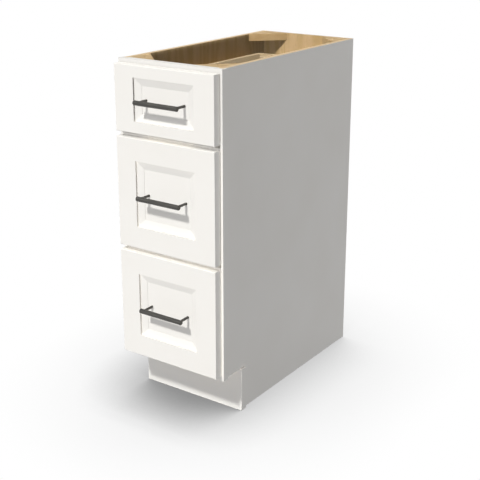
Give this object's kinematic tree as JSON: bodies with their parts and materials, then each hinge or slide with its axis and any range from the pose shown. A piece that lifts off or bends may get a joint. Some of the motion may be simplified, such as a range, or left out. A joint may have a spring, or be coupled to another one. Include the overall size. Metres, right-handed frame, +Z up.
{
  "type": "drawer base cabinet",
  "caption": "Narrow face-frame base cabinet with recessed-panel drawers on telescopic slides, dark bar pulls, a toe recess and an open top for a countertop.",
  "frame": {"origin": "on the floor, midway between the sides and midway between the pulls' front and the back", "axes": "+Z up, +Y from the drawer fronts to the back, +X to the right of a person facing the fronts"},
  "size_m": [0.3048, 0.6657, 0.8763],
  "materials": {
    "white_paint": "satin warm white paint over maple",
    "side_panel_white_and_birch": "satin warm white outside, clear birch veneer inside",
    "birch_plywood": "clear-lacquered birch plywood",
    "solid_birch": "sanded birch",
    "drawer_maple": "clear-lacquered maple",
    "zinc_steel": "zinc-plated steel",
    "gunmetal_pull": "satin gunmetal",
    "clear_rubber": "soft translucent bumper"
  },
  "bodies": {
    "carcass": {"left_side_panel": "side_panel_white_and_birch", "right_side_panel": "side_panel_white_and_birch", "cabinet_floor": "birch_plywood", "back_panel": "birch_plywood", "left_frame_stile": "white_paint", "right_frame_stile": "white_paint", "top_frame_rail": "white_paint", "upper_middle_frame_rail": "white_paint", "lower_middle_frame_rail": "white_paint", "bottom_frame_rail": "white_paint", "toe_kick_board": "white_paint", "corner_blocks": "solid_birch", "slide_packers": "solid_birch", "cabinet_slide_members": "zinc_steel"},
    "top_drawer": {"top_front_left_stile": "white_paint", "top_front_right_stile": "white_paint", "top_front_top_rail": "white_paint", "top_front_bottom_rail": "white_paint", "top_front_panel": "white_paint", "top_box_left_side": "drawer_maple", "top_box_right_side": "drawer_maple", "top_box_front": "drawer_maple", "top_box_back": "drawer_maple", "top_box_bottom": "birch_plywood", "top_pull": "gunmetal_pull", "top_screws": "zinc_steel", "top_bumpers": "clear_rubber", "top_slide_drawer_members": "zinc_steel"},
    "top_middle_slides": {"top_slide_middle_members": "zinc_steel"},
    "middle_drawer": {"middle_front_left_stile": "white_paint", "middle_front_right_stile": "white_paint", "middle_front_top_rail": "white_paint", "middle_front_bottom_rail": "white_paint", "middle_front_panel": "white_paint", "middle_box_left_side": "drawer_maple", "middle_box_right_side": "drawer_maple", "middle_box_front": "drawer_maple", "middle_box_back": "drawer_maple", "middle_box_bottom": "birch_plywood", "middle_pull": "gunmetal_pull", "middle_screws": "zinc_steel", "middle_bumpers": "clear_rubber", "middle_slide_drawer_members": "zinc_steel"},
    "middle_middle_slides": {"middle_slide_middle_members": "zinc_steel"},
    "bottom_drawer": {"bottom_front_left_stile": "white_paint", "bottom_front_right_stile": "white_paint", "bottom_front_top_rail": "white_paint", "bottom_front_bottom_rail": "white_paint", "bottom_front_panel": "white_paint", "bottom_box_left_side": "drawer_maple", "bottom_box_right_side": "drawer_maple", "bottom_box_front": "drawer_maple", "bottom_box_back": "drawer_maple", "bottom_box_bottom": "birch_plywood", "bottom_pull": "gunmetal_pull", "bottom_screws": "zinc_steel", "bottom_bumpers": "clear_rubber", "bottom_slide_drawer_members": "zinc_steel"},
    "bottom_middle_slides": {"bottom_slide_middle_members": "zinc_steel"}
  },
  "joints": [
    {"name": "top_drawer_travel", "type": "slide", "parent": "carcass", "child": "top_drawer", "axis": [0, -1, 0], "range_m": [0, 0.5]},
    {"name": "top_middle_slides_travel", "type": "slide", "parent": "carcass", "child": "top_middle_slides", "axis": [0, -1, 0], "range_m": [0, 0.25]},
    {"name": "middle_drawer_travel", "type": "slide", "parent": "carcass", "child": "middle_drawer", "axis": [0, -1, 0], "range_m": [0, 0.5]},
    {"name": "middle_middle_slides_travel", "type": "slide", "parent": "carcass", "child": "middle_middle_slides", "axis": [0, -1, 0], "range_m": [0, 0.25]},
    {"name": "bottom_drawer_travel", "type": "slide", "parent": "carcass", "child": "bottom_drawer", "axis": [0, -1, 0], "range_m": [0, 0.5]},
    {"name": "bottom_middle_slides_travel", "type": "slide", "parent": "carcass", "child": "bottom_middle_slides", "axis": [0, -1, 0], "range_m": [0, 0.25]}
  ],
  "couplings": [
    {"joint": "top_middle_slides_travel", "follows": "top_drawer_travel", "ratio": 0.5},
    {"joint": "middle_middle_slides_travel", "follows": "middle_drawer_travel", "ratio": 0.5},
    {"joint": "bottom_middle_slides_travel", "follows": "bottom_drawer_travel", "ratio": 0.5}
  ]
}
